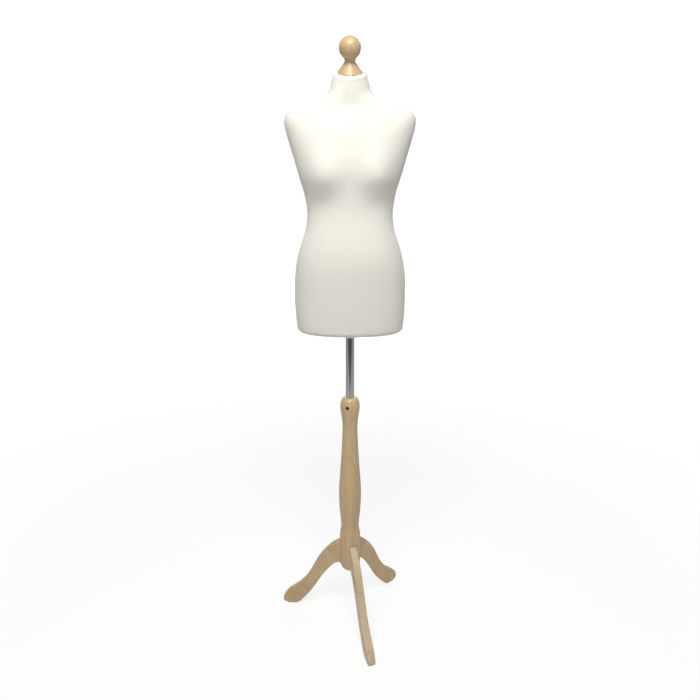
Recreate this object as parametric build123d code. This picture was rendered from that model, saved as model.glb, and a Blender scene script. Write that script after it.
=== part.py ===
from build123d import *
import math
import os

# Adjustable dress form: a jersey-covered torso on a chrome pole, which slides in a
# turned beech column with three shaped legs. Millimetres, +Z up, floor at Z = 0.
# The torso faces -Y. Everything is drawn about the pole's axis, and is then moved so
# that the origin is the middle of the footprint.

# ---------------------------------------------------------------- driving dimensions
AXIS_X = 22.0                 # the pole's axis, from the middle of the footprint
AXIS_Y = 26.0

# pole and turned column
POLE_R = 12.5                 # standard 25 mm chromed tube
POLE_WALL = 1.5
POLE_BOTTOM = 456.0
POLE_TOP = 1000.0
RUNNING_GAP = 0.06            # radial, between the pole and its bore
COLUMN_TOP = 744.0
COLUMN_BULB_R = 29.3          # the bulb at the column's top
COLUMN_BULB_AT = 717.0
COLUMN_RIM_R = 15.5           # flat rim round the bore
CROWN_STEPS = 5
COLUMN_BOTTOM = 164.0
BORE_BOTTOM = 272.0
HUB_R = 32.0
PLUG_HEAD = 4.0               # thickness of the nylon plugs' heads

# legs
LEG_YAWS = {"front": 16.4, "left": -103.6, "right": 136.4}   # from -Y towards +X
LEG_THICKNESS = 22.0
LEG_ROOT_R = 28.0             # where the leg's inner end sits, in its housing
LEG_ROOT_LOW = 184.0
LEG_ROOT_HIGH = 260.0
LEG_EDGE_R = 3.5
PAD_R = 9.0
PAD_THICKNESS = 2.0
PAD_AT_R = 207.0
DOWEL_R = 4.0
DOWEL_LENGTH = 30.0
DOWEL_HEIGHTS = (194.0, 242.0)
BOLT_R = 3.0
BOLT_HEIGHT = 210.0
BOLT_INNER_R = 13.0
BOLT_OUTER_R = 69.0
POCKET_FROM_R = 58.0
POCKET_TO_R = 74.0
POCKET_WIDTH = 14.0
POCKET_TOP = 218.0
NUT_ACROSS_FLATS = 10.0
NUT_THICKNESS = 5.0
WASHER_R = 6.0
WASHER_THICKNESS = 1.6

# clamp screw in the column's head
CLAMP_HEIGHT = 719.0
CLAMP_YAW = -16.0
INSERT_R = 6.0
INSERT_FROM_R = 16.2
INSERT_TO_R = 28.0
SCREW_R = 4.0
SCREW_TO_R = 27.0
HEX_SOCKET_AF = 4.0
HEX_SOCKET_DEPTH = 5.0
PAD_TIP_R = 3.0
PAD_TIP_LENGTH = 3.4

# torso
COVER_THICKNESS = 1.0
COVER_GAP = 0.15              # between the cover and what it is stretched over
SHELL_THICKNESS = 3.0
TORSO_BOTTOM = 955.0
BOTTOM_ROUND = 11.0            # the first level of TORSO_LEVELS is this far above the bottom
FOOT_STEPS = 4
BOARD_RIM_TOP = 968.0
BOARD_TOP = 980.0
NECK_HEIGHT = 1659.0          # of the slanted neck top, on its own centre line
NECK_CENTRE_Y = -2.0
NECK_TILT = 24.0              # the neck top leans towards the front
NECK_BLOCK_DEPTH = 22.0
NECK_BLOCK_HALF_WIDTH = 39.0
NECK_BLOCK_HALF_DEPTH = 44.5
SECTION_POINTS = 32
BUST_HALF_SPACING = 76.0
BUST_SPREAD = 46.0
SEAT_HALF_SPACING = 62.0
SEAT_SPREAD = 40.0
SIDE_SEAM_Y = 10.0

# height, half width, front, back, squareness, bust, seat: one line for each level.
# front and back are the Y of the torso on its centre line, before bust and seat.
TORSO_LEVELS = [
    (966.0, 153.5, -99.0, 106.0, 2.40, 0.0, 1.0),
    (990.0, 156.0, -101.0, 112.0, 2.38, 0.0, 3.0),
    (1030.0, 158.5, -103.0, 118.0, 2.32, 0.0, 6.0),
    (1070.0, 159.0, -105.0, 119.0, 2.28, 0.0, 7.0),
    (1110.0, 157.5, -107.0, 114.0, 2.25, 0.0, 5.0),
    (1150.0, 152.0, -108.0, 103.0, 2.22, 0.0, 2.0),
    (1190.0, 142.5, -105.0, 90.0, 2.20, 0.0, 0.0),
    (1230.0, 129.0, -98.0, 79.0, 2.18, 0.0, 0.0),
    (1280.0, 119.3, -89.0, 74.0, 2.15, 0.5, 0.0),
    (1320.0, 122.0, -88.0, 78.0, 2.15, 3.0, 0.0),
    (1352.0, 128.5, -90.0, 84.0, 2.18, 14.0, 0.0),
    (1385.0, 138.5, -94.0, 91.0, 2.20, 23.0, 0.0),
    (1420.0, 149.0, -95.0, 98.0, 2.22, 18.0, 0.0),
    (1460.0, 161.0, -89.0, 103.0, 2.30, 8.0, 0.0),
    (1500.0, 172.5, -79.0, 102.0, 2.45, 2.0, 0.0),
    (1530.0, 179.0, -67.0, 95.0, 2.60, 0.0, 0.0),
    (1548.0, 178.0, -58.0, 87.0, 2.60, 0.0, 0.0),
    (1562.0, 168.0, -52.0, 79.0, 2.45, 0.0, 0.0),
    (1576.0, 135.0, -49.0, 71.0, 2.20, 0.0, 0.0),
    (1588.0, 95.0, -49.0, 64.0, 2.05, 0.0, 0.0),
    (1602.0, 67.0, -50.0, 58.0, 2.0, 0.0, 0.0),
    (1622.0, 54.5, -50.5, 53.5, 2.0, 0.0, 0.0),
    (1642.0, 49.0, -50.5, 49.0, 2.0, 0.0, 0.0),
    (NECK_HEIGHT, 45.5, -51.0, 45.0, 2.0, 0.0, 0.0),
]
SHOULDER_FROM = 1530.0        # above here an inner skin is also set lower, not only inwards
SHOULDER_FULL = 1560.0
NECK_FROM = 1595.0            # the levels start to lean forwards here, and lean fully at the top

# socket under the torso
SOCKET_BORE_R = 12.6
SOCKET_R = 15.0
SOCKET_BOTTOM = 931.0
SOCKET_CAP = 3.0
FLANGE_R = 40.0
FLANGE_THICKNESS = 3.0
FLANGE_HOLE_PCD_R = 30.0
CONE_TOP_R = 36.0
CONE_BOTTOM_R = 17.6
ELASTIC_R = 0.9

# screws
SHELL_SCREW_HEIGHT = 974.0
SHELL_SCREW_LENGTH = 16.0
SHELL_SCREW_R = 1.75
SHELL_SCREW_HEAD_R = 3.4
SHELL_SCREW_ANGLES = (25.0, 65.0, 115.0, 155.0, 205.0, 245.0, 295.0, 335.0)
FLANGE_SCREW_R = 2.0
FLANGE_SCREW_LENGTH = 18.0
FLANGE_SCREW_HEAD_R = 4.0
FLANGE_SCREW_HEAD_HEIGHT = 2.6

# finial, measured along its own axis from the neck top
FINIAL_BASE_R = 33.0
FINIAL_WAIST_R = 14.3
FINIAL_WAIST_AT = 29.5
FINIAL_BALL_R = 29.0
FINIAL_BALL_AT = 63.5
FINIAL_BALL_JOIN = 42.0       # degrees below the ball's middle where the neck runs into it
FINIAL_SCREW_R = 3.0
FINIAL_SCREW_BELOW = 20.0
FINIAL_SCREW_ABOVE = 24.0


# ---------------------------------------------------------------- helpers
def radial(yaw_deg):
    """Unit vector that points outwards at this yaw, from -Y towards +X."""
    yaw = math.radians(yaw_deg)
    return Vector(math.sin(yaw), -math.cos(yaw), 0)


def radial_plane(yaw_deg, height=0.0, at_r=0.0):
    """Plane whose normal points outwards at this yaw, with its origin at_r from the axis."""
    out = radial(yaw_deg)
    return Plane(origin=out * at_r + Vector(0, 0, height), x_dir=out.cross(Vector(0, 0, 1)), z_dir=out)


def rod(plane, radius, length):
    """Cylinder that starts on the plane and runs along its normal."""
    return plane * Cylinder(radius, length, align=(Align.CENTER, Align.CENTER, Align.MIN))


def upright(radius, low, high):
    """Vertical cylinder about the pole's axis."""
    base = Plane.XY.offset(low)
    return rod(base, radius, high - low)


def ring(outer, inner, low, high):
    return upright(outer, low, high) - upright(inner, low, high)


def turned(half_outline):
    """Solid of revolution about Z from a closed outline in XZ."""
    return revolve(make_face(half_outline), Axis.Z)


# ---------------------------------------------------------------- stand
def make_column_blank():
    dome_low = COLUMN_BOTTOM
    hub_top = 284.0
    side = Spline(
        (HUB_R, hub_top), (28.2, 312), (29.6, 345), (33.0, 385), (34.4, 432), (32.2, 478),
        (28.4, 530), (24.8, 590), (22.8, 640), (23.5, 665), (25.4, 684), (27.6, 698),
        (28.6, 705), (29.1, 711),
        (COLUMN_BULB_R, COLUMN_BULB_AT), tangents=((0, 1), (0, 1)),
    )
    crown_points = []
    for step in range(CROWN_STEPS + 1):
        turn = math.pi / 2 * step / CROWN_STEPS
        radius = COLUMN_RIM_R + (COLUMN_BULB_R - COLUMN_RIM_R) * math.cos(turn)
        height = COLUMN_BULB_AT + (COLUMN_TOP - COLUMN_BULB_AT) * math.sin(turn)
        crown_points.append((radius, height))
    outline = Polyline((0, COLUMN_TOP), (0, dome_low), (11, dome_low))
    outline += Spline((11, dome_low), (25, 172), (HUB_R, 192), tangents=((1, 0), (0, 1)))
    outline += Line((HUB_R, 192), (HUB_R, hub_top))
    outline += side
    outline += Spline(*crown_points, tangents=((0, 1), (-1, 0)))
    outline += Line((COLUMN_RIM_R, COLUMN_TOP), (0, COLUMN_TOP))
    return turned(Plane.XZ * outline)


def leg_outline():
    """Side view of a leg: X is the distance from the pole's axis, Y is the height."""
    top = Spline(
        (LEG_ROOT_R, LEG_ROOT_HIGH), (64, 237), (100, 193), (128, 140), (160, 90), (200, 53),
        (217, 36), tangents=((1, -0.25), (0.8, -1)),
    )
    toe = Spline((217, 36), (226, 20), (214, PAD_THICKNESS), tangents=((0.8, -1), (-1, 0)))
    sole = Line((214, PAD_THICKNESS), (196, PAD_THICKNESS))
    under = Spline(
        (196, PAD_THICKNESS), (160, 22), (122, 73), (87, 131), (48, 177),
        (LEG_ROOT_R, LEG_ROOT_LOW), tangents=((-1, 0), (-1, 0.2)),
    )
    root = Line((LEG_ROOT_R, LEG_ROOT_LOW), (LEG_ROOT_R, LEG_ROOT_HIGH))
    return top + toe + sole + under + root


def make_leg_blank():
    """One leg in the XZ plane, pointing along +X, before it is turned to its yaw."""
    face = make_face(Plane.XZ.offset(-LEG_THICKNESS / 2) * leg_outline())
    board = extrude(face, LEG_THICKNESS, dir=(0, -1, 0))
    long_edges = [
        edge for edge in board.edges()
        if abs(abs(edge.center().Y) - LEG_THICKNESS / 2) < 0.01
        and edge.center().X > LEG_ROOT_R + 1
    ]
    board = fillet(long_edges, LEG_EDGE_R)
    pocket_depth = POCKET_TOP - 100
    pocket = Pos((POCKET_FROM_R + POCKET_TO_R) / 2, 0, POCKET_TOP - pocket_depth / 2) * Box(
        POCKET_TO_R - POCKET_FROM_R, POCKET_WIDTH, pocket_depth)
    return board - pocket


def at_yaw(shape, yaw_deg):
    """Turn a shape drawn along +X to the given yaw."""
    return Rot(0, 0, yaw_deg - 90) * shape


def leg_drill(yaw_deg):
    """What is drilled for one leg: two dowel holes and the bolt's hole."""
    bolt_length = BOLT_OUTER_R - BOLT_INNER_R
    holes = [rod(radial_plane(yaw_deg, BOLT_HEIGHT, BOLT_INNER_R), BOLT_R, bolt_length)]
    for height in DOWEL_HEIGHTS:
        start = LEG_ROOT_R - DOWEL_LENGTH / 2
        holes.append(rod(radial_plane(yaw_deg, height, start), DOWEL_R, DOWEL_LENGTH))
    return holes


def make_legs():
    blank = make_leg_blank()
    legs = {}
    for side, yaw in LEG_YAWS.items():
        leg = at_yaw(blank, yaw)
        for hole in leg_drill(yaw):
            leg -= hole
        legs["leg_" + side] = leg
    return legs


def make_leg_fixings():
    dowels, bolts, washers, nuts, pads = [], [], [], [], []
    for yaw in LEG_YAWS.values():
        for height in DOWEL_HEIGHTS:
            start = LEG_ROOT_R - DOWEL_LENGTH / 2
            dowels.append(rod(radial_plane(yaw, height, start), DOWEL_R, DOWEL_LENGTH))
        bolt_length = BOLT_OUTER_R - BOLT_INNER_R
        bolts.append(rod(radial_plane(yaw, BOLT_HEIGHT, BOLT_INNER_R), BOLT_R, bolt_length))
        washer_plane = radial_plane(yaw, BOLT_HEIGHT, POCKET_FROM_R)
        hole = rod(washer_plane, BOLT_R, WASHER_THICKNESS)
        washers.append(rod(washer_plane, WASHER_R, WASHER_THICKNESS) - hole)
        nut_plane = radial_plane(yaw, BOLT_HEIGHT, POCKET_FROM_R + WASHER_THICKNESS)
        hexagon = RegularPolygon(NUT_ACROSS_FLATS / 2, 6, major_radius=False)
        nut = extrude(nut_plane * hexagon, NUT_THICKNESS)
        nuts.append(nut - rod(nut_plane, BOLT_R, NUT_THICKNESS))
        foot = radial(yaw) * PAD_AT_R
        pads.append(Pos(foot.X, foot.Y, PAD_THICKNESS / 2) * Cylinder(PAD_R, PAD_THICKNESS))
    return {
        "leg_dowels": dowels, "leg_hanger_bolts": bolts, "leg_washers": washers,
        "leg_nuts": nuts, "foot_pads": pads,
    }


def make_column():
    column = make_column_blank()
    column -= upright(POLE_R + RUNNING_GAP, BORE_BOTTOM, COLUMN_TOP + 1)
    for yaw in LEG_YAWS.values():
        housing_height = LEG_ROOT_HIGH - LEG_ROOT_LOW
        housing = Pos(LEG_ROOT_R + 10, 0, (LEG_ROOT_HIGH + LEG_ROOT_LOW) / 2) * Box(
            20, LEG_THICKNESS, housing_height + 4)
        column -= at_yaw(housing, yaw)
        for hole in leg_drill(yaw):
            column -= hole
    column -= rod(radial_plane(CLAMP_YAW, CLAMP_HEIGHT, INSERT_FROM_R), INSERT_R, 30)
    column -= rod(radial_plane(CLAMP_YAW, CLAMP_HEIGHT, 0), SCREW_R + 0.2, 30)
    return column


def make_clamp():
    insert_length = INSERT_TO_R - INSERT_FROM_R
    insert = rod(radial_plane(CLAMP_YAW, CLAMP_HEIGHT, INSERT_FROM_R), INSERT_R, insert_length)
    insert -= rod(radial_plane(CLAMP_YAW, CLAMP_HEIGHT, 0), SCREW_R + 0.05, 40)
    tip_plane = radial_plane(CLAMP_YAW, CLAMP_HEIGHT, POLE_R + 0.02)
    tip = rod(tip_plane, PAD_TIP_R, PAD_TIP_LENGTH)
    screw_from = POLE_R + 0.02 + PAD_TIP_LENGTH
    screw_length = SCREW_TO_R - screw_from
    screw = rod(radial_plane(CLAMP_YAW, CLAMP_HEIGHT, screw_from), SCREW_R, screw_length)
    mouth = radial_plane(CLAMP_YAW, CLAMP_HEIGHT, SCREW_TO_R - HEX_SOCKET_DEPTH)
    hexagon = RegularPolygon(HEX_SOCKET_AF / 2, 6, major_radius=False)
    screw -= extrude(mouth * hexagon, HEX_SOCKET_DEPTH)
    return {"clamp_insert": insert, "clamp_pad": tip, "clamp_screw": screw}


# ---------------------------------------------------------------- pole
def make_pole():
    tube_bottom = POLE_BOTTOM + PLUG_HEAD
    tube_top = POLE_TOP - PLUG_HEAD
    bore_r = POLE_R - POLE_WALL
    tube = ring(POLE_R, bore_r, tube_bottom, tube_top)
    guide = upright(POLE_R - 0.1, POLE_BOTTOM, tube_bottom)
    guide += upright(bore_r, tube_bottom, tube_bottom + 22)
    swivel = upright(POLE_R - 0.1, tube_top, POLE_TOP)
    swivel += upright(bore_r - RUNNING_GAP, tube_top - 28, tube_top)
    return {"pole_tube": tube, "pole_bottom_guide": guide, "swivel_plug": swivel}


# ---------------------------------------------------------------- torso
def bump(x, centre, spread):
    return math.exp(-(((abs(x) - centre) / spread) ** 2))


def signed_power(value, power):
    return math.copysign(abs(value) ** power, value)


def ramp(value, start, end):
    return min(max((value - start) / (end - start), 0), 1)


def level_outline(level, inset):
    """Points round the torso at one level, each set inwards by inset."""
    height, half_width, front, back, squareness, bust, seat = level
    middle = (front + back) / 2
    half_depth = (back - front) / 2
    points = []
    for step in range(SECTION_POINTS):
        angle = math.pi / 2 + math.tau * step / SECTION_POINTS
        x = half_width * signed_power(math.cos(angle), 2 / squareness)
        y = middle + half_depth * signed_power(math.sin(angle), 2 / squareness)
        if y < middle:
            y -= bust * bump(x, BUST_HALF_SPACING, BUST_SPREAD)
        else:
            y += seat * bump(x, SEAT_HALF_SPACING, SEAT_SPREAD)
        points.append((x, y))
    drop = ramp(height, SHOULDER_FROM, SHOULDER_FULL)
    lean = math.radians(NECK_TILT) * ramp(height, NECK_FROM, NECK_HEIGHT)
    inner = []
    for step, (x, y) in enumerate(points):
        before = points[step - 1]
        after = points[(step + 1) % SECTION_POINTS]
        along = Vector(after[0] - before[0], after[1] - before[1], 0).normalized()
        y_in = y + along.X * inset
        z_in = height - inset * drop / math.cos(lean) + math.tan(lean) * (y_in - NECK_CENTRE_Y)
        inner.append((x - along.Y * inset, y_in, z_in))
    return inner


def closed_ring(points):
    return Wire([Edge.make_spline([Vector(*point) for point in points], periodic=True)])


def torso_blank(inset):
    """The torso above its rounded foot, with its skin set inwards by inset."""
    return Solid.make_loft([closed_ring(level_outline(level, inset)) for level in TORSO_LEVELS])


def torso_foot(inset):
    """The rounded foot, a quarter round from the flat base up to the first level."""
    radius = BOTTOM_ROUND - inset
    rings = []
    for step in range(FOOT_STEPS + 1):
        angle = math.pi / 2 * step / FOOT_STEPS
        points = level_outline(TORSO_LEVELS[0], inset + radius * (1 - math.sin(angle)))
        height = TORSO_BOTTOM + inset + radius * (1 - math.cos(angle))
        rings.append(closed_ring([(x, y, height) for x, y, _ in points]))
    return Solid.make_loft(rings)


def neck_plane(below):
    """The slanted neck top, moved down along its own normal."""
    tilt = math.radians(NECK_TILT)
    normal = Vector(0, -math.sin(tilt), math.cos(tilt))
    centre = Vector(0, NECK_CENTRE_Y, NECK_HEIGHT)
    return Plane(origin=centre - normal * below, x_dir=(1, 0, 0), z_dir=normal)


def slab(low, high):
    return Pos(0, 0, (low + high) / 2) * Box(600, 600, high - low)


def closed_torso(inset):
    """The torso from its base to its slanted neck top, set inwards by inset all over."""
    return torso_blank(inset) + torso_foot(inset)


def shell_screws():
    """Countersunk screws through the shell's foot into the board's step."""
    screws = []
    foot = TORSO_LEVELS[0]
    next_level = TORSO_LEVELS[1]
    share = (SHELL_SCREW_HEIGHT - foot[0]) / (next_level[0] - foot[0])
    blend = tuple(a + (b - a) * share for a, b in zip(foot, next_level))
    outline = level_outline(blend, COVER_THICKNESS + 5 * COVER_GAP)
    for angle in SHELL_SCREW_ANGLES:
        step = round(angle / 360 * SECTION_POINTS) % SECTION_POINTS
        x, y, _ = outline[step]
        before = outline[step - 1]
        after = outline[(step + 1) % SECTION_POINTS]
        along = Vector(after[0] - before[0], after[1] - before[1], 0).normalized()
        inwards = Vector(-along.Y, along.X, 0)
        head = Plane(origin=(x, y, SHELL_SCREW_HEIGHT), x_dir=(0, 0, 1), z_dir=inwards)
        cone_height = SHELL_SCREW_HEAD_R - SHELL_SCREW_R
        countersink = head * Cone(SHELL_SCREW_HEAD_R, SHELL_SCREW_R, cone_height,
                                  align=(Align.CENTER, Align.CENTER, Align.MIN))
        screws.append(countersink + rod(head, SHELL_SCREW_R, SHELL_SCREW_LENGTH))
    return screws


def make_cover():
    """Jersey skin, with the gathered cone round the socket's collar."""
    cone_height = TORSO_BOTTOM - SOCKET_BOTTOM
    at_cone = Pos(0, 0, SOCKET_BOTTOM + cone_height / 2)
    gather = at_cone * Cone(CONE_BOTTOM_R + COVER_THICKNESS, CONE_TOP_R, cone_height)
    hollow = at_cone * Cone(CONE_BOTTOM_R, CONE_TOP_R - 2, cone_height)
    cover = closed_torso(0) - closed_torso(COVER_THICKNESS)
    cover -= upright(CONE_TOP_R - 2, TORSO_BOTTOM - 1, TORSO_BOTTOM + COVER_THICKNESS + 1)
    cover += gather - hollow
    return cover - rod(neck_plane(5), FINIAL_SCREW_R, 10)


def neck_disc():
    """Oval disc that closes the neck, just under the cover."""
    oval = neck_plane(COVER_THICKNESS + COVER_GAP) * Ellipse(NECK_BLOCK_HALF_WIDTH, NECK_BLOCK_HALF_DEPTH)
    return extrude(oval, -NECK_BLOCK_DEPTH)


def make_torso():
    skin = COVER_THICKNESS + COVER_GAP
    under_cover = closed_torso(skin)
    inside = torso_blank(skin + SHELL_THICKNESS)
    board_bottom = TORSO_BOTTOM + skin

    shell = under_cover - inside - slab(board_bottom - 10, BOARD_RIM_TOP)
    shell -= neck_disc()
    board = under_cover & slab(board_bottom, BOARD_RIM_TOP)
    board += inside & slab(BOARD_RIM_TOP, BOARD_TOP)
    board -= upright(SOCKET_R, board_bottom - 1, BOARD_TOP + 1)
    neck_block = neck_disc()
    neck_block -= rod(neck_plane(FINIAL_SCREW_BELOW), FINIAL_SCREW_R, 60)

    screws = shell_screws()
    for screw in screws:
        shell -= screw
        board -= screw
    flange_screws = make_flange_screws()
    for screw in flange_screws:
        board -= screw
    front_half = Pos(0, SIDE_SEAM_Y - 300, 1300) * Box(600, 600, 1000)
    return {
        "jersey_cover": make_cover(), "torso_shell_front": shell & front_half,
        "torso_shell_back": shell - front_half, "base_board": board, "neck_block": neck_block,
        "shell_screws": screws, "socket_screws": flange_screws,
    }


def make_flange_screws():
    screws = []
    seat = BOARD_TOP + FLANGE_THICKNESS
    for quarter in range(4):
        angle = math.radians(45 + 90 * quarter)
        x = FLANGE_HOLE_PCD_R * math.cos(angle)
        y = FLANGE_HOLE_PCD_R * math.sin(angle)
        shank = Pos(x, y, seat - FLANGE_SCREW_LENGTH / 2) * Cylinder(FLANGE_SCREW_R,
                                                                     FLANGE_SCREW_LENGTH)
        head = Pos(x, y, seat + FLANGE_SCREW_HEAD_HEIGHT / 2) * Cylinder(
            FLANGE_SCREW_HEAD_R, FLANGE_SCREW_HEAD_HEIGHT)
        screws.append(shank + head)
    return screws


def make_socket():
    socket = ring(SOCKET_R, SOCKET_BORE_R, SOCKET_BOTTOM, POLE_TOP)
    socket += upright(SOCKET_R, POLE_TOP, POLE_TOP + SOCKET_CAP)
    socket += ring(FLANGE_R, SOCKET_R - 1, BOARD_TOP, BOARD_TOP + FLANGE_THICKNESS)
    for screw in make_flange_screws():
        socket -= screw
    elastic = Pos(0, 0, SOCKET_BOTTOM + 3) * Torus(SOCKET_R + ELASTIC_R + 0.1, ELASTIC_R)
    return {"pole_socket": socket, "hem_elastic": elastic}


def make_finial():
    base = FINIAL_BASE_R
    cone_top = (16.2, 26.0)
    waist = (FINIAL_WAIST_R, FINIAL_WAIST_AT)
    below = math.radians(FINIAL_BALL_JOIN)
    join = (FINIAL_BALL_R * math.cos(below), FINIAL_BALL_AT - FINIAL_BALL_R * math.sin(below))
    top = FINIAL_BALL_AT + FINIAL_BALL_R
    outline = Polyline((0, 0), (base - 1.5, 0), (base, 1.5), (base, 3.5), cone_top)
    outline += Spline(cone_top, waist, tangents=((-0.75, 1), (0, 1)))
    outline += Spline(waist, join, tangents=((0, 1), (math.sin(below), math.cos(below))))
    outline += RadiusArc(join, (0, top), -FINIAL_BALL_R)
    outline += Line((0, top), (0, 0))
    blank = turned(Plane.XZ * outline)
    blank -= upright(FINIAL_SCREW_R, -1, FINIAL_SCREW_ABOVE)
    finial = neck_plane(0) * blank
    screw_length = FINIAL_SCREW_BELOW + FINIAL_SCREW_ABOVE
    screw = rod(neck_plane(FINIAL_SCREW_BELOW), FINIAL_SCREW_R, screw_length)
    return {"finial": finial, "finial_screw": screw}


# ---------------------------------------------------------------- write the parts
def main():
    os.makedirs("parts", exist_ok=True)
    nodes = {"column": make_column()}
    nodes.update(make_legs())
    nodes.update(make_leg_fixings())
    nodes.update(make_clamp())
    nodes.update(make_pole())
    nodes.update(make_torso())
    nodes.update(make_socket())
    nodes.update(make_finial())
    for name, shape in nodes.items():
        if isinstance(shape, list):
            shape = Compound(shape)
        export_step(Pos(AXIS_X, AXIS_Y, 0) * shape, os.path.join("parts", name + ".step"))


main()
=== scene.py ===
import math

import bpy
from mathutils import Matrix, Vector, noise
from mathutils.bvhtree import BVHTree


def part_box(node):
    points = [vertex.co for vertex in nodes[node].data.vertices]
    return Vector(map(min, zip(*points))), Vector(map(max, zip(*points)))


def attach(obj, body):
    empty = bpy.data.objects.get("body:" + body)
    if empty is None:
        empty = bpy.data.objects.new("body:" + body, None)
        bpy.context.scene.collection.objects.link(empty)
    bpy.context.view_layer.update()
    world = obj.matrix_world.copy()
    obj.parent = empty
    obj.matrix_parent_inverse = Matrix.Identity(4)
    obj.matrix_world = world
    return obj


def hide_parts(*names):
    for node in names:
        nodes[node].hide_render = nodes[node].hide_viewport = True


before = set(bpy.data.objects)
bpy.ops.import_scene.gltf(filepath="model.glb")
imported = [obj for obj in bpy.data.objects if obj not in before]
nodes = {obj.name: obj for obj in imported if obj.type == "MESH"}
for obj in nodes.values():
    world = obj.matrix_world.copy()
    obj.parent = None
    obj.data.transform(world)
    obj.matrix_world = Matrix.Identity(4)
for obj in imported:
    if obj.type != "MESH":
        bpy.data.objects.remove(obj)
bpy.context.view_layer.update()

# ---------------------------------------------------------------- places, from the frame
pole_low, pole_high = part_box("pole_tube")
AXIS = (Vector(pole_low) + Vector(pole_high)) / 2
AXIS.z = 0.0
cover_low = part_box("jersey_cover")[0]

COVER_BOTTOM = 0.955            # flat underside of the covered torso
FOOT_ROUND = 0.011              # round between the underside and the body
CONE_TOP_R = 0.036              # gathered cone round the pole socket
CONE_BOTTOM_R = 0.0186
CONE_BOTTOM = cover_low[2]
NECK_TOP = 1.659                # on the neck's own centre line
NECK_CENTRE_Y = -0.002
NECK_TILT = math.radians(24.0)
NECK_FROM = 1.595               # the rows start to lean here
RIM_ROUND = 0.006
FINIAL_FOOT_R = 0.033
LEG_YAWS = {"leg_front": 16.4, "leg_left": -103.6, "leg_right": 136.4}
LEG_GRAIN_SLOPE = math.radians(52)   # the boards' grain runs down towards the foot


# ---------------------------------------------------------------- camera
SENSOR_WIDTH = 36.0             # mm
LENS = 28.3                     # mm
SHIFT = -0.0714                 # the picture is cropped lower than the camera points
CAMERA_PLACE = (0.0, -1.56, 1.365)
CAMERA_DOWN = 11.7              # degrees below level


def make_camera():
    data = bpy.data.cameras.new("camera")
    data.sensor_width = SENSOR_WIDTH
    data.lens = LENS
    data.shift_y = SHIFT
    camera = bpy.data.objects.new("camera", data)
    bpy.context.scene.collection.objects.link(camera)
    camera.location = AXIS + Vector(CAMERA_PLACE)
    camera.rotation_euler = (math.radians(90 - CAMERA_DOWN), 0, 0)
    bpy.context.scene.camera = camera


# ---------------------------------------------------------------- node helpers
class Shader:
    """A node material: add() makes a node, link() joins two sockets by name."""

    def __init__(self, name):
        self.material = bpy.data.materials.new(name)
        self.material.use_nodes = True
        self.tree = self.material.node_tree
        self.bsdf = self.tree.nodes["Principled BSDF"]

    def add(self, kind, values=None, **settings):
        node = self.tree.nodes.new(kind)
        for key, value in settings.items():
            setattr(node, key, value)
        for key, value in (values or {}).items():
            node.inputs[key].default_value = value
        return node

    def link(self, node, output, target, socket):
        self.tree.links.new(node.outputs[output], target.inputs[socket])

    def set(self, **values):
        for key, value in values.items():
            self.bsdf.inputs[key.replace("_", " ")].default_value = value

    def math(self, operation, first, second=None):
        """A Math node on numbers or on (node, output) pairs."""
        node = self.add("ShaderNodeMath", operation=operation)
        for index, value in enumerate((first, second)):
            if isinstance(value, tuple):
                self.link(value[0], value[1], node, index)
            elif value is not None:
                node.inputs[index].default_value = value
        return (node, "Value")

    def mapped(self, scale, rotation=(0, 0, 0), offset=(0, 0, 0)):
        source = self.add("ShaderNodeTexCoord")
        turn = self.add("ShaderNodeMapping", {"Rotation": rotation, "Location": offset})
        stretch = self.add("ShaderNodeMapping", {"Scale": scale})
        self.link(source, "Object", turn, "Vector")
        self.link(turn, "Vector", stretch, "Vector")
        return stretch

    def noise(self, vector, scale, detail=4.0, roughness=0.55, distortion=0.0):
        node = self.add("ShaderNodeTexNoise", {"Scale": scale, "Detail": detail,
                                               "Roughness": roughness, "Distortion": distortion})
        self.link(vector, "Vector", node, "Vector")
        return node

    def ramp(self, source, output, stops):
        node = self.add("ShaderNodeValToRGB")
        first, last = node.color_ramp.elements
        first.position, first.color = stops[0]
        last.position, last.color = stops[-1]
        for position, color in stops[1:-1]:
            node.color_ramp.elements.new(position).color = color
        self.link(source, output, node, "Fac")
        return node

    def mix(self, factor, first, second, blend="MIX"):
        """Mix two colours; each is a colour or a (node, output) pair."""
        node = self.add("ShaderNodeMix", data_type="RGBA", blend_type=blend)
        if isinstance(factor, tuple):
            self.link(factor[0], factor[1], node, 0)
        else:
            node.inputs[0].default_value = factor
        for index, value in ((6, first), (7, second)):
            if len(value) == 2:
                self.link(value[0], value[1], node, index)
            else:
                node.inputs[index].default_value = value
        return (node, 2)

    def bump(self, source, strength, distance):
        node = self.add("ShaderNodeBump", {"Strength": strength, "Distance": distance})
        self.link(source[0], source[1], node, "Height")
        self.link(node, "Normal", self.bsdf, "Normal")


def grey(value):
    return (value, value, value, 1.0)


def tone(red, green, blue):
    return (red, green, blue, 1.0)


# ---------------------------------------------------------------- materials
WALES = 680.0                   # stitches round the body
COURSES = 980.0                 # rows of stitches to the metre


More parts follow.
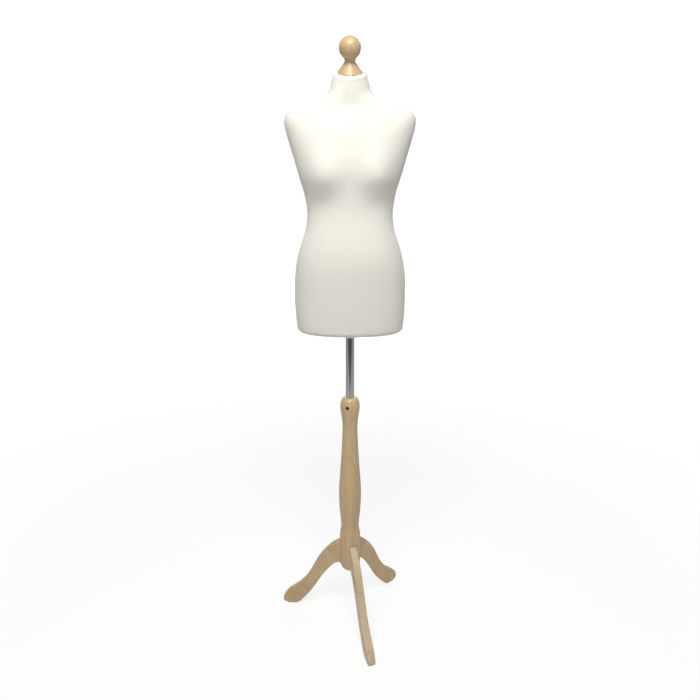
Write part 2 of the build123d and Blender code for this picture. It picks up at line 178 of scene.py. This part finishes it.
def jersey_material():
    """Cream cotton jersey: rows of small V stitches, a soft fuzz and a faint unevenness."""
    s = Shader("jersey")
    uv = s.add("ShaderNodeUVMap", uv_map="knit")
    parts = s.add("ShaderNodeSeparateXYZ")
    s.link(uv, "UV", parts, "Vector")
    across = s.math("FRACT", s.math("MULTIPLY", (parts, "X"), WALES))
    slope = s.math("MULTIPLY", s.math("ABSOLUTE", s.math("SUBTRACT", across, 0.5)), 2.0)
    rows = s.math("MULTIPLY", (parts, "Y"), COURSES)
    chevron = s.math("SINE", s.math("MULTIPLY", s.math("ADD", rows, slope), math.tau))
    round_leg = s.math("SUBTRACT", 1.0, s.math("POWER", slope, 3.0))
    wave = s.math("ADD", s.math("MULTIPLY", chevron, 0.35), 0.65)
    stitch = s.math("MULTIPLY", wave, round_leg)
    fuzz = s.noise(s.mapped((1, 1, 1)), 900.0, 3.0, 0.7)
    height = s.math("ADD", stitch, s.math("MULTIPLY", (fuzz, "Fac"), 0.5))
    s.bump(height, 0.35, 0.0004)
    slow = s.noise(s.mapped((1, 1, 1)), 9.0, 3.0)
    cloth = s.mix((slow, "Fac"), tone(0.885, 0.862, 0.762), tone(0.92, 0.902, 0.815))
    shadow = s.ramp(stitch[0], "Value", [(0.0, grey(0.90)), (0.75, grey(1.0))])
    cloth = s.mix(1.0, cloth, (shadow, "Color"), "MULTIPLY")
    s.link(cloth[0], cloth[1], s.bsdf, "Base Color")
    s.set(Roughness=0.95, Sheen_Weight=0.25, Sheen_Roughness=0.5, Specular_IOR_Level=0.2)
    return s.material


def beech_material(name, grain_turn=(0, 0, 0), offset=(0, 0, 0), warmth=0.5, painted_light_paler=False):
    """Lacquered beech: long soft grain, short dark flecks and pores along it."""
    s = Shader(name)
    long_grain = s.mapped((1, 1, 0.05), grain_turn, offset=offset)
    bands = s.noise(long_grain, 26.0, 5.0, 0.6, 0.6)
    fine = s.noise(s.mapped((1, 1, 0.03), grain_turn, offset=offset), 260.0, 3.0, 0.6)
    flecks = s.noise(s.mapped((1, 1, 0.12), grain_turn, offset=offset), 620.0, 1.0, 0.4)
    broad = s.noise(s.mapped((1, 1, 0.4), grain_turn, offset=offset), 7.0, 2.0)
    pale = tone(0.71, 0.53, 0.30)
    warm = tone(0.60, 0.415, 0.215)
    # Paler tones are painted light: they stand for the light that falls on the front leg's upward
    # face.
    if painted_light_paler:
        pale, warm = tone(0.77, 0.625, 0.41), tone(0.68, 0.52, 0.315)
    streak = s.ramp(bands, "Fac", [(0.32, grey(0.0)), (0.68, grey(1.0))])
    base = s.mix((streak, "Color"), pale, warm)
    patch = s.ramp(broad, "Fac", [(0.3, tone(1.05, 1.0, 0.93)), (0.7, tone(0.93, 0.93, 0.98))])
    base = s.mix(warmth, base, s.mix(1.0, base, (patch, "Color"), "MULTIPLY"))
    lines = s.ramp(fine, "Fac", [(0.38, grey(0.86)), (0.6, grey(1.0))])
    base = s.mix(0.8, base, s.mix(1.0, base, (lines, "Color"), "MULTIPLY"))
    dark = s.ramp(flecks, "Fac", [(0.66, grey(0.0)), (0.72, grey(1.0))])
    base = s.mix((dark, "Color"), base, tone(0.43, 0.28, 0.145))
    s.link(base[0], base[1], s.bsdf, "Base Color")
    relief = s.math("ADD", (fine, "Fac"), s.math("MULTIPLY", (flecks, "Fac"), -0.6))
    s.bump(relief, 0.12, 0.0003)
    gloss = s.ramp(bands, "Fac", [(0.0, grey(0.36)), (1.0, grey(0.48))])
    s.link(gloss, "Color", s.bsdf, "Roughness")
    s.set(Coat_Weight=0.3, Coat_Roughness=0.22, Specular_IOR_Level=0.45)
    return s.material


def metal_material(name, color, roughness, brushed=0.15, metallic=1.0):
    """Metal, or paint where metallic is 0, with fine streaks in its colour and finish."""
    s = Shader(name)
    streaks = s.noise(s.mapped((1, 1, 0.02)), 700.0, 3.0)
    shade = s.mix((streaks, "Fac"), tone(*[c * (1 - brushed) for c in color]), tone(*color))
    s.link(shade[0], shade[1], s.bsdf, "Base Color")
    low, high = grey(roughness * 0.8), grey(roughness * 1.3)
    finish = s.ramp(streaks, "Fac", [(0.3, low), (0.7, high)])
    s.link(finish, "Color", s.bsdf, "Roughness")
    s.set(Metallic=metallic)
    s.bump((streaks, "Fac"), 0.05, 0.0001)
    return s.material


def moulded_material(name, color, roughness, grain=500.0, sheen=0.0):
    """A plain material with a fine speckle: plastic, felt or elastic."""
    s = Shader(name)
    speckle = s.noise(s.mapped((1, 1, 1)), grain, 3.0)
    shade = s.mix((speckle, "Fac"), tone(*[c * 0.9 for c in color]), tone(*color))
    s.link(shade[0], shade[1], s.bsdf, "Base Color")
    s.set(Roughness=roughness, Sheen_Weight=sheen)
    s.bump((speckle, "Fac"), 0.2, 0.0003)
    return s.material


def plywood_material():
    """Plywood board: flat grain on its faces and thin plies on its edge."""
    s = Shader("plywood")
    plies = s.add("ShaderNodeTexWave", {"Scale": 90.0, "Distortion": 0.4},
                  wave_type="BANDS", bands_direction="Z")
    s.link(s.mapped((1, 1, 1)), "Vector", plies, "Vector")
    grain = s.noise(s.mapped((0.05, 1, 1)), 120.0, 4.0)
    base = s.mix((grain, "Fac"), tone(0.62, 0.46, 0.28), tone(0.50, 0.35, 0.20))
    base = s.mix(0.35, base, s.mix(1.0, base, (plies, "Color"), "MULTIPLY"))
    s.link(base[0], base[1], s.bsdf, "Base Color")
    s.set(Roughness=0.7)
    s.bump((grain, "Fac"), 0.2, 0.0003)
    return s.material


def dress(node_names, material):
    for name in node_names:
        piece = nodes[name]
        piece.data.materials.clear()
        piece.data.materials.append(material)


def dress_cad_nodes():
    dress(["column"], beech_material("beech_column"))
    for number, (name, yaw) in enumerate(LEG_YAWS.items()):
        turn = (math.pi / 2 - LEG_GRAIN_SLOPE, 0, math.radians(-yaw))
        place = (0.31 * number, 0.17 * number, 0.23 * number)
        # The front leg gets the paler tones as painted light, for the light falling on its upper
        # face.
        dress([name], beech_material("beech_" + name, turn, place, 0.8, name == "leg_front"))
    dress(["finial"], beech_material("beech_finial", (-NECK_TILT, 0, 0), (0.4, 0.2, 0.1)))
    dress(["leg_dowels"], beech_material("beech_dowels", (0, math.pi / 2, 0)))
    dress(["base_board", "neck_block"], plywood_material())
    dress(["pole_tube"], metal_material("chrome", (0.56, 0.56, 0.57), 0.07, 0.04))
    dress(["pole_socket"], metal_material("painted_steel", (0.05, 0.05, 0.055), 0.45, 0.2, 0.0))
    steel = metal_material("zinc_steel", (0.62, 0.63, 0.66), 0.35)
    dress(["leg_hanger_bolts", "leg_washers", "leg_nuts", "shell_screws", "socket_screws",
           "finial_screw"], steel)
    dress(["clamp_insert"], metal_material("brass", (0.42, 0.33, 0.18), 0.4))
    dress(["clamp_screw"], metal_material("black_oxide", (0.05, 0.05, 0.055), 0.4))
    dress(["pole_bottom_guide", "swivel_plug", "clamp_pad"],
          moulded_material("nylon", (0.82, 0.81, 0.76), 0.4))
    dress(["torso_shell_front", "torso_shell_back"],
          moulded_material("moulded_shell", (0.74, 0.71, 0.63), 0.55, 60.0))
    dress(["foot_pads"], moulded_material("felt", (0.22, 0.20, 0.18), 1.0, 1600.0, 0.6))
    dress(["hem_elastic"], moulded_material("elastic", (0.80, 0.78, 0.72), 0.8, 1200.0))


# ---------------------------------------------------------------- jersey cover
COLUMNS = 192
ROW_STEP = 0.0045               # distance along the skin between rows
FINE_ROWS = 900                 # heights tried when the rows are spaced
FRONT = -math.pi / 2            # the angle of the centre front
RAY_REACH = 0.4                 # rays start this far out, clear of the body
CLOTH_THICKNESS = 0.0007

CONE_STEPS = 7
CONE_FLARE = 1.3                # above 1 the cone widens faster near its top
HEM_LIFT = 0.0005               # the cover's first row above the CAD cover's end
HEM_GATHERS = 22
HEM_FOLD = 0.0022               # m
UNDER_STEPS = 22
UNDER_GATHERS = 40
UNDER_FOLD = 0.0006
UNDER_LIFT = 0.0002             # the underside's cloth above the CAD cover's
UNDER_RISE = 0.0006
ROLL_STEPS = 4
CAP_STEPS = 12
CAP_HOLE_R = 0.007              # hidden under the finial, round its screw
CAP_RISE = 0.0004
CAP_GATHERS = 16
CAP_GATHER_AT = FINIAL_FOOT_R + 0.002
CAP_GATHER_WIDTH = 0.006
CAP_GATHER_RISE = 0.0016
CAP_KNOT_RISE = 0.0030          # where the front seam ends at the finial
CAP_KNOT_WIDTH = 0.10           # radians


class Skin:
    """Finds the outer surface of the CAD cover along rays from outside to its axis."""

    def __init__(self):
        mesh = nodes["jersey_cover"].data
        points = [v.co.copy() for v in mesh.vertices]
        self.tree = BVHTree.FromPolygons(points, [p.vertices[:] for p in mesh.polygons])

    def lean(self, height):
        share = (height - NECK_FROM) / (NECK_TOP - RIM_ROUND - NECK_FROM)
        return NECK_TILT * min(max(share, 0.0), 1.0)

    def point(self, height, angle):
        slope = math.tan(self.lean(height))
        centre = AXIS + Vector((0, NECK_CENTRE_Y, height))
        out = Vector((math.cos(angle), math.sin(angle), slope * math.sin(angle)))
        hit, _, _, _ = self.tree.ray_cast(centre + out * RAY_REACH, -out.normalized())
        if hit is None:
            raise RuntimeError(f"no cover at height {height:.3f}, angle {angle:.2f}")
        return hit


def wall_heights(skin):
    """Heights of the rows, evenly spaced along the skin on the front and the side."""
    low = COVER_BOTTOM + FOOT_ROUND * 0.06
    high = NECK_TOP - RIM_ROUND
    heights = [low + (high - low) * i / FINE_ROWS for i in range(FINE_ROWS + 1)]
    travelled = [0.0]
    before = [skin.point(heights[0], a) for a in (0.0, FRONT)]
    for height in heights[1:]:
        now = [skin.point(height, a) for a in (0.0, FRONT)]
        travelled.append(travelled[-1] + max((p - q).length for p, q in zip(now, before)))
        before = now
    rows = max(2, round(travelled[-1] / ROW_STEP))
    result = []
    index = 0
    for row in range(rows + 1):
        target = travelled[-1] * row / rows
        while index < FINE_ROWS and travelled[index] < target:
            index += 1
        result.append(heights[index])
    return result


def neck_frame():
    """Centre of the slanted neck top and its normal."""
    normal = Vector((0, -math.sin(NECK_TILT), math.cos(NECK_TILT)))
    return AXIS + Vector((0, NECK_CENTRE_Y, NECK_TOP)), normal


def ring_angles():
    return [math.tau * i / COLUMNS for i in range(COLUMNS)]


def front_distance(angle):
    """Angle from the centre front, from -pi to pi."""
    return (angle - FRONT + math.pi) % math.tau - math.pi


def bell(distance, width):
    """A smooth bump: 1 at no distance, near 0 beyond two widths."""
    return math.exp(-((distance / width) ** 2))


def rise(value, start, length):
    """0 up to the start, then a straight rise to 1 over the length."""
    return min(max((value - start) / length, 0.0), 1.0)


def pleat(angle, count, seed):
    """Irregular gathers round a drawn-in edge, from 0 to 1."""
    drift = 1.4 * noise.noise(Vector((math.cos(angle) * 1.7, math.sin(angle) * 1.7, seed)))
    size = 0.65 + 0.35 * noise.noise(Vector((math.cos(angle) * 3, math.sin(angle) * 3, seed + 5)))
    return size * (0.5 + 0.5 * math.cos(count * angle + 5 * drift)) ** 1.4


def cone_rings(angles):
    """The gathered cone round the pole socket, from its hem up."""
    rings = []
    bottom = CONE_BOTTOM + HEM_LIFT
    for step in range(CONE_STEPS):
        share = step / (CONE_STEPS - 1)
        radius = CONE_BOTTOM_R + (CONE_TOP_R - CONE_BOTTOM_R) * share ** CONE_FLARE
        height = bottom + (COVER_BOTTOM - bottom) * share
        depth = HEM_FOLD * (0.35 + 0.65 * (1 - share))
        ring = []
        for angle in angles:
            fold = (pleat(angle, HEM_GATHERS, 3.0) - 0.4) * depth
            out = Vector((math.cos(angle), math.sin(angle), 0))
            ring.append(AXIS + out * (radius + fold) + Vector((0, 0, height)))
        rings.append(ring)
    return rings


def under_rings(angles, inner, edge):
    """The flat underside, from the cone out to the body; its gathers fade outwards."""
    rings = []
    for step in range(1, UNDER_STEPS):
        share = step / UNDER_STEPS
        ring = []
        for angle, near, far in zip(angles, inner, edge):
            fold = pleat(angle, HEM_GATHERS, 3.0) * HEM_FOLD * (1 - share) ** 2
            fold += pleat(angle, UNDER_GATHERS, 9.0) * UNDER_FOLD * (1 - share)
            point = near.lerp(far, share)
            point.z = COVER_BOTTOM + UNDER_LIFT - fold + UNDER_RISE * share
            ring.append(point)
        rings.append(ring)
    return rings


def roll_rings(rim):
    """The round edge between the neck's wall and its slanted top."""
    centre, normal = neck_frame()
    rings = []
    for step in range(1, ROLL_STEPS + 1):
        turn = math.pi / 2 * step / ROLL_STEPS
        ring = []
        for point in rim:
            inwards = centre - point
            inwards -= normal * inwards.dot(normal)
            inwards.normalize()
            ring.append(point + inwards * RIM_ROUND * (1 - math.cos(turn))
                        + normal * RIM_ROUND * math.sin(turn))
        rings.append(ring)
    return rings


def cap_rings(angles, cap_edge):
    """The neck's gathered top, in to the hole under the finial."""
    centre, normal = neck_frame()
    rings = []
    for step in range(1, CAP_STEPS + 1):
        share = step / CAP_STEPS
        ring = []
        for angle, point in zip(angles, cap_edge):
            flat = point - centre
            lift = flat.dot(normal)
            flat -= normal * lift
            radius = flat.length * (1 - share) + CAP_HOLE_R * share
            height = lift * (1 - share) + CAP_RISE * share
            if radius >= FINIAL_FOOT_R - 0.001:
                near_foot = bell(radius - CAP_GATHER_AT, CAP_GATHER_WIDTH)
                height += CAP_GATHER_RISE * near_foot * pleat(angle, CAP_GATHERS, 1.0)
                height += CAP_KNOT_RISE * near_foot * bell(front_distance(angle), CAP_KNOT_WIDTH)
            ring.append(centre + flat.normalized() * radius + normal * height)
        rings.append(ring)
    return rings


def cover_rings(skin):
    """Rings of points from the hem of the cone, up the body, to under the finial."""
    angles = ring_angles()
    body = [[skin.point(h, a) for a in angles] for h in wall_heights(skin)]
    rings = cone_rings(angles)
    rings.extend(under_rings(angles, rings[-1], body[0]))
    rings.extend(body)
    rings.extend(roll_rings(body[-1]))
    rings.extend(cap_rings(angles, rings[-1]))
    return rings


# relief of the cloth: depths, rises, widths and heights in metres
RELIEF_FROM = COVER_BOTTOM + 0.004
FRONT_REACH = 1.0               # radians each side of the centre front
FRONT_SEAM_WIDTH = 0.0022
FRONT_SEAM_DEPTH = 0.0003
NECK_SEAM_DEPTH = 0.0006        # added to it up the neck
NECK_SEAM_FROM = 1.50
NECK_SEAM_BLEND = 0.12
WELT_AT = 0.007                 # a ridge each side of the neck's seam
WELT_WIDTH = 0.004
WELT_RISE = 0.0007
SIDE_SEAM_DEPTH = 0.0006
SIDE_SEAM_WIDTH = 0.014         # radians
BACK_SEAM_DEPTH = 0.0005
BACK_SEAM_WIDTH = 0.02          # radians
RIM_GATHER_FROM = 1.615
RIM_GATHER_BLEND = 0.04
RIM_GATHER_RISE = 0.0011
DIMPLE_AT = (-0.012, 1.083)     # x and height
DIMPLE_WIDTH = 0.0045
DIMPLE_DEPTH = 0.0011
CREASE_AT = (0.152, 1.503)      # x and height, by the armhole
CREASE_ALONG = (0.5, 0.866)
CREASE_WIDTH = 0.003
CREASE_LENGTH = 0.013
CREASE_DEPTH = 0.0014
CREASE_ANGLE = 2.0              # radians from the centre front
UNEVENNESS = ((0.0007, 14.0), (0.0002, 60.0))   # rise, and waves to the metre


def relief(point, angle):
    """How far the skin stands out (m): seams drawn in, gathers, a dimple and softness."""
    height = point.z
    if height <= RELIEF_FROM:
        return 0.0
    x = point.x - AXIS.x
    front = front_distance(angle)
    drawn = 0.0
    if abs(front) < FRONT_REACH:
        neck_share = rise(height, NECK_SEAM_FROM, NECK_SEAM_BLEND)
        drawn -= bell(x, FRONT_SEAM_WIDTH) * (FRONT_SEAM_DEPTH + NECK_SEAM_DEPTH * neck_share)
        drawn += neck_share * WELT_RISE * bell(abs(x) - WELT_AT, WELT_WIDTH)
        dimple = Vector((x - DIMPLE_AT[0], height - DIMPLE_AT[1]))
        drawn -= DIMPLE_DEPTH * bell(dimple.length, DIMPLE_WIDTH)
    if abs(front) < CREASE_ANGLE:
        crease = Vector((x - CREASE_AT[0], height - CREASE_AT[1]))
        beside = crease.cross(Vector(CREASE_ALONG))
        drawn -= CREASE_DEPTH * bell(beside, CREASE_WIDTH) * bell(crease.length, CREASE_LENGTH)
    side = min(abs(front - math.pi / 2), abs(front + math.pi / 2))
    drawn -= SIDE_SEAM_DEPTH * bell(side, SIDE_SEAM_WIDTH)
    drawn -= BACK_SEAM_DEPTH * bell(math.pi - abs(front), BACK_SEAM_WIDTH)
    rim_share = rise(height, RIM_GATHER_FROM, RIM_GATHER_BLEND)
    drawn += rim_share * RIM_GATHER_RISE * (pleat(angle, CAP_GATHERS, 1.0) - 0.4)
    for size, waves in UNEVENNESS:
        drawn += size * noise.noise(point * waves)
    return drawn


def knit_map(mesh, rings):
    """The knit's own map: once round the body across, metres along the skin up."""
    knit = mesh.uv_layers.new(name="knit")
    travelled = [0.0]
    for low, high in zip(rings, rings[1:]):
        travelled.append(travelled[-1] + (high[0] - low[0]).length)
    for face in mesh.polygons:
        for corner, loop in enumerate(face.loop_indices):
            row, column = divmod(mesh.loops[loop].vertex_index, COLUMNS)
            wraps = column == 0 and corner in (1, 2)
            knit.data[loop].uv = ((COLUMNS if wraps else column) / COLUMNS, travelled[row])


def make_cover():
    rings = cover_rings(Skin())
    mesh = bpy.data.meshes.new("jersey_skin")
    points = [p for ring in rings for p in ring]
    faces = []
    for row in range(len(rings) - 1):
        low = row * COLUMNS
        high = low + COLUMNS
        for column in range(COLUMNS):
            after = (column + 1) % COLUMNS
            faces.append((low + column, low + after, high + after, high + column))
    mesh.from_pydata(points, [], faces)
    mesh.update()
    angles = ring_angles()
    neck_centre = neck_frame()[0]
    moved = []
    for index, vertex in enumerate(mesh.vertices):
        under_finial = (vertex.co - neck_centre).length < FINIAL_FOOT_R + 0.001
        stand_out = 0.0 if under_finial else relief(vertex.co, angles[index % COLUMNS])
        moved.append(vertex.co + vertex.normal * stand_out)
    for vertex, place in zip(mesh.vertices, moved):
        vertex.co = place
    knit_map(mesh, rings)
    for face in mesh.polygons:
        face.use_smooth = True
    cover = bpy.data.objects.new("jersey_skin", mesh)
    bpy.context.scene.collection.objects.link(cover)
    cloth = cover.modifiers.new("cloth_thickness", "SOLIDIFY")
    cloth.thickness = CLOTH_THICKNESS
    cloth.offset = -1.0
    mesh.materials.append(jersey_material())
    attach(cover, "torso")
    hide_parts("jersey_cover")


# ---------------------------------------------------------------- floor and light
FLOOR_HALF = 40.0               # m
APRON_DARK = 0.20               # the floor far in front, for the chrome to reflect
APRON_DARK_Y = -2.3
FLOOR_PALE = 0.80
FLOOR_PALE_Y = -1.6
WASH_STRENGTH = 1.10
WASH_NEAR = (1.0, 0.74)         # metres from the stand, share of white the camera sees
WASH_FAR = (4.0, 1.0)
WORLD_SEEN = 1.05               # the white surround the camera sees
WORLD_DARK = 0.10               # the studio's light from behind the camera
WORLD_BRIGHT = 0.38             # and from all other sides
LIGHTS = (                      # name, place, aim, size, watts
    ("key", (-0.1, -1.5, 3.1), (0, 0, 1.3), (1.4, 1.0), 58),
    ("front", (-0.2, -3.2, 1.9), (0, 0, 1.1), (1.4, 1.4), 8),
    ("back", (0.4, 3.0, 2.4), (0, 0, 1.1), (1.6, 1.6), 20),
)


def make_floor():
    """A wide pale floor, washed out for the camera so that only faint shadows show."""
    mesh = bpy.data.meshes.new("floor")
    half = FLOOR_HALF
    corners = [(-half, -half, 0), (half, -half, 0), (half, half, 0), (-half, half, 0)]
    mesh.from_pydata(corners, [], [(0, 1, 2, 3)])
    floor = bpy.data.objects.new("floor", mesh)
    bpy.context.scene.collection.objects.link(floor)
    s = Shader("floor")
    s.set(Roughness=1.0, Specular_IOR_Level=0.0)
    place = s.add("ShaderNodeTexCoord")
    ground = s.add("ShaderNodeSeparateXYZ")
    s.link(place, "Object", ground, "Vector")
    apron = s.add("ShaderNodeMapRange", {"From Min": APRON_DARK_Y, "From Max": FLOOR_PALE_Y,
                                         "To Min": APRON_DARK, "To Max": FLOOR_PALE})
    s.link(ground, "Y", apron, "Value")
    s.link(apron, "Result", s.bsdf, "Base Color")
    glow = s.add("ShaderNodeEmission", {"Color": grey(1.0), "Strength": WASH_STRENGTH})
    path = s.add("ShaderNodeLightPath")
    away = s.add("ShaderNodeVectorMath", operation="LENGTH")
    s.link(place, "Object", away, "Vector")
    wash = s.add("ShaderNodeMapRange", {"From Min": WASH_NEAR[0], "From Max": WASH_FAR[0],
                                        "To Min": WASH_NEAR[1], "To Max": WASH_FAR[1]})
    s.link(away, "Value", wash, "Value")
    share = s.math("MULTIPLY", (path, "Is Camera Ray"), (wash, "Result"))
    blend = s.add("ShaderNodeMixShader")
    output = s.tree.nodes["Material Output"]
    s.link(share[0], share[1], blend, 0)
    s.link(s.bsdf, "BSDF", blend, 1)
    s.link(glow, "Emission", blend, 2)
    s.link(blend, "Shader", output, "Surface")
    mesh.materials.append(s.material)


def softbox(name, place, aim, size, power):
    data = bpy.data.lights.new(name, "AREA")
    data.shape = "RECTANGLE"
    data.size, data.size_y = size
    data.energy = power
    lamp = bpy.data.objects.new(name, data)
    bpy.context.scene.collection.objects.link(lamp)
    lamp.location = AXIS + Vector(place)
    toward = AXIS + Vector(aim) - lamp.location
    lamp.rotation_euler = toward.to_track_quat("-Z", "Y").to_euler()


def make_world():
    """A white surround; the studio behind the camera is darker, which metal reflects."""
    world = bpy.data.worlds.new("studio")
    bpy.context.scene.world = world
    world.use_nodes = True
    tree = world.node_tree
    tree.nodes.clear()
    out = tree.nodes.new("ShaderNodeOutputWorld")
    seen = tree.nodes.new("ShaderNodeBackground")
    seen.inputs["Color"].default_value = grey(1.0)
    seen.inputs["Strength"].default_value = WORLD_SEEN
    place = tree.nodes.new("ShaderNodeTexCoord")
    parts = tree.nodes.new("ShaderNodeSeparateXYZ")
    depth = tree.nodes.new("ShaderNodeMapRange")
    depth.inputs["From Min"].default_value = -1.0
    depth.inputs["From Max"].default_value = 0.2
    depth.inputs["To Min"].default_value = WORLD_DARK
    depth.inputs["To Max"].default_value = WORLD_BRIGHT
    lit = tree.nodes.new("ShaderNodeBackground")
    lit.inputs["Color"].default_value = grey(1.0)
    path = tree.nodes.new("ShaderNodeLightPath")
    mix = tree.nodes.new("ShaderNodeMixShader")
    tree.links.new(place.outputs["Generated"], parts.inputs[0])
    tree.links.new(parts.outputs["Y"], depth.inputs["Value"])
    tree.links.new(depth.outputs["Result"], lit.inputs["Strength"])
    tree.links.new(path.outputs["Is Camera Ray"], mix.inputs[0])
    tree.links.new(lit.outputs[0], mix.inputs[1])
    tree.links.new(seen.outputs[0], mix.inputs[2])
    tree.links.new(mix.outputs[0], out.inputs[0])


def make_light():
    make_world()
    for name, place, aim, size, power in LIGHTS:
        softbox(name, place, aim, size, power)
    view = bpy.context.scene.view_settings
    view.view_transform = "Standard"
    view.look = "None"


make_camera()
dress_cad_nodes()
make_cover()
make_floor()
make_light()
